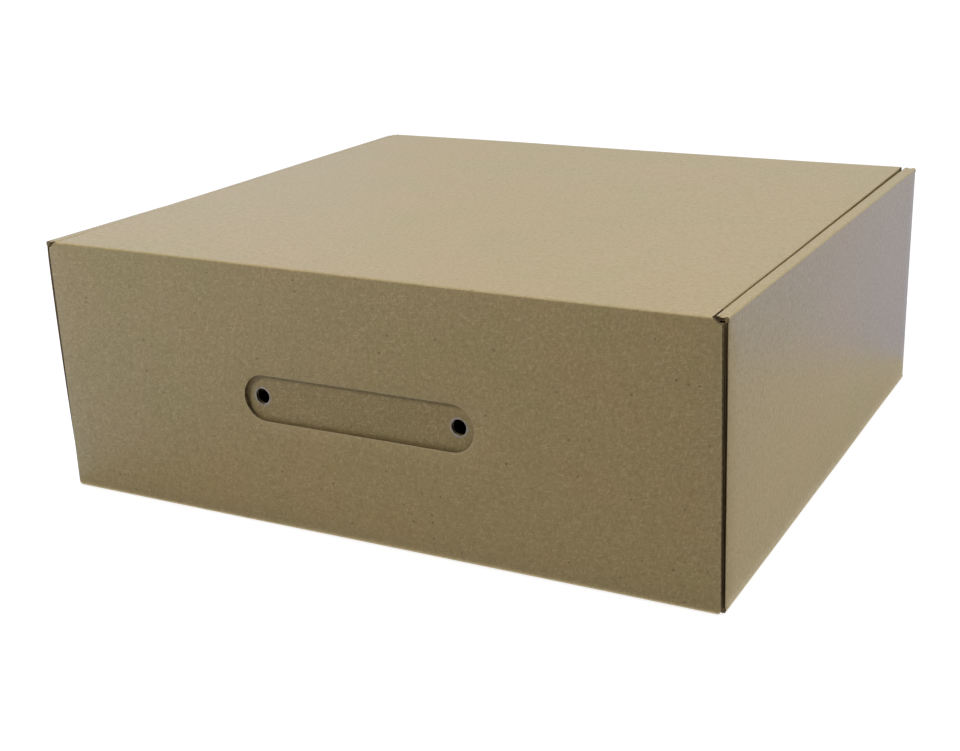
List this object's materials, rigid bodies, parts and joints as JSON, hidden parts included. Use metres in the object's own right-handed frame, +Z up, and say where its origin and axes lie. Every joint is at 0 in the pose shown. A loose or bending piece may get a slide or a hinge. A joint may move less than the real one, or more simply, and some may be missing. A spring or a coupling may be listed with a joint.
{
  "type": "archival box",
  "caption": "Flat folded corrugated-board storage box with rolled-over side walls, a lid lying between the rims, and an outer front flap with a round-ended finger slot.",
  "frame": {"origin": "centre of the box's underside", "axes": "+Z up, front flap with the finger slot faces -Y, +X to the right seen from the front"},
  "size_m": [0.304, 0.281, 0.11],
  "materials": {
    "kraft_board": "matte, uncoated, finely flecked"
  },
  "bodies": {
    "tray": {"base_panel": "kraft_board", "front_wall": "kraft_board", "back_wall": "kraft_board", "left_outer_side": "kraft_board", "left_rim": "kraft_board", "left_inner_side": "kraft_board", "left_front_corner_tab": "kraft_board", "left_back_corner_tab": "kraft_board", "right_outer_side": "kraft_board", "right_rim": "kraft_board", "right_inner_side": "kraft_board", "right_front_corner_tab": "kraft_board", "right_back_corner_tab": "kraft_board"},
    "lid": {"lid_panel": "kraft_board"},
    "front_flap": {"lid_front_flap": "kraft_board"},
    "left_flap": {"left_dust_flap": "kraft_board"},
    "right_flap": {"right_dust_flap": "kraft_board"}
  },
  "joints": [
    {"name": "lid_hinge", "type": "hinge", "parent": "tray", "child": "lid", "pos_m": [0, 0.1405, 0.11], "axis": [-1, 0, 0], "range_deg": [0, 175]},
    {"name": "front_flap_crease", "type": "hinge", "parent": "lid", "child": "front_flap", "pos_m": [0, -0.1405, 0.11], "axis": [-1, 0, 0], "range_deg": [0, 120]},
    {"name": "left_dust_crease", "type": "hinge", "parent": "lid", "child": "left_flap", "pos_m": [-0.1435, 0, 0.10825], "axis": [0, -1, 0], "range_deg": [0, 75]},
    {"name": "right_dust_crease", "type": "hinge", "parent": "lid", "child": "right_flap", "pos_m": [0.1435, 0, 0.10825], "axis": [0, 1, 0], "range_deg": [0, 75]}
  ]
}
